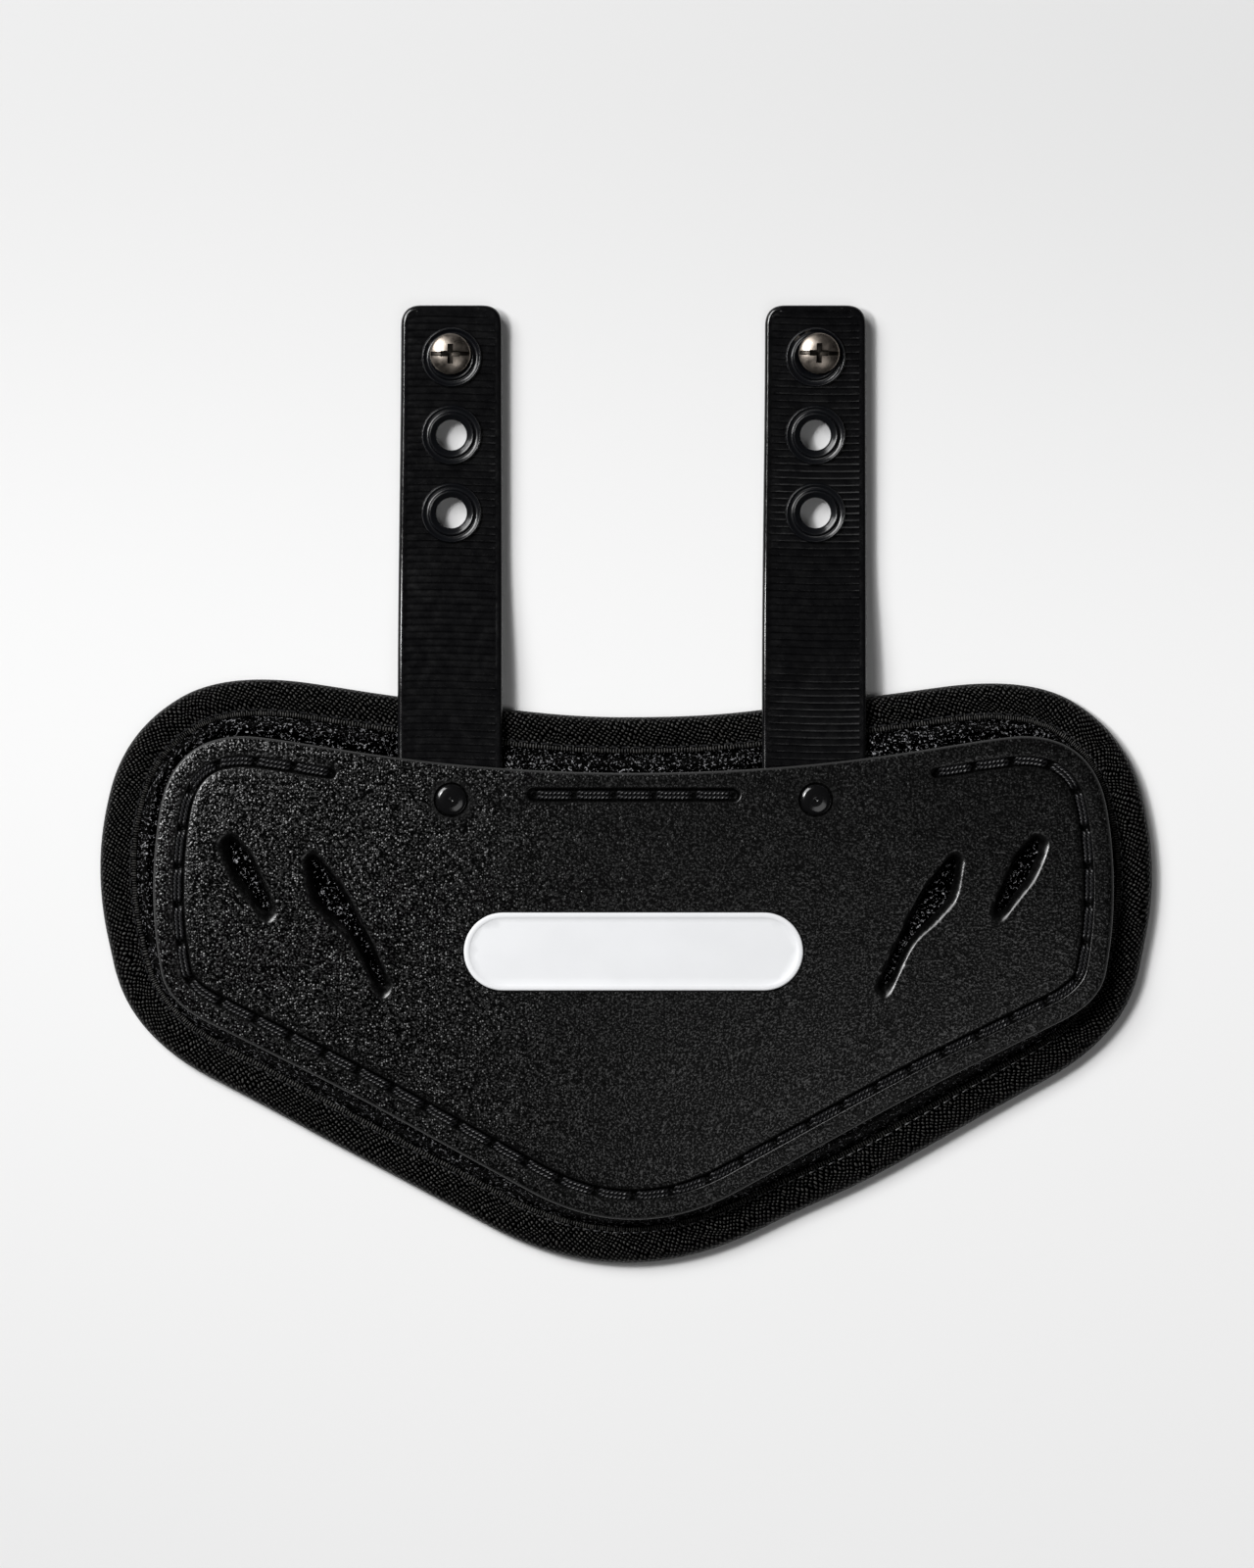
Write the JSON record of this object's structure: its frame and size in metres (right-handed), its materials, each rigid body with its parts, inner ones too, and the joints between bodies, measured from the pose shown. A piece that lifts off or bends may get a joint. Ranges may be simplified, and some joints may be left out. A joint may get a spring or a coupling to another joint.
{
  "type": "football back plate",
  "caption": "Wide shield-shaped plastic back plate stitched to a bound foam pad, with two flat hanging straps ending in rows of grommets.",
  "frame": {"origin": "middle of the footprint on the surface that the pad lies on", "axes": "+X across the back, +Y up the back towards the strap ends, +Z out of the back through the plate"},
  "size_m": [0.3226, 0.2936, 0.0163],
  "materials": {
    "plate_plastic": "moulded polyethylene with a fine pebble grain",
    "knit_fabric": "black spacer knit over foam",
    "binding_tape": "black twill binding tape",
    "strap_coating": "ribbed webbing in a glossy coating",
    "grommet_rubber": "moulded, satin",
    "rivet_black": "gloss black",
    "screw_nickel": "dark nickel plate",
    "badge_white": "smooth, satin"
  },
  "bodies": {
    "root": {"pad": "knit_fabric", "edge_binding": "binding_tape", "plate": "plate_plastic", "badge_panel": "badge_white", "strap_left": "strap_coating", "strap_right": "strap_coating", "grommet_left_1": "grommet_rubber", "grommet_left_2": "grommet_rubber", "grommet_left_3": "grommet_rubber", "grommet_right_1": "grommet_rubber", "grommet_right_2": "grommet_rubber", "grommet_right_3": "grommet_rubber", "rivet_left": "rivet_black", "rivet_right": "rivet_black", "screw_left": "screw_nickel", "screw_right": "screw_nickel", "screw_nut_left": "screw_nickel", "screw_nut_right": "screw_nickel"}
  },
  "joints": []
}
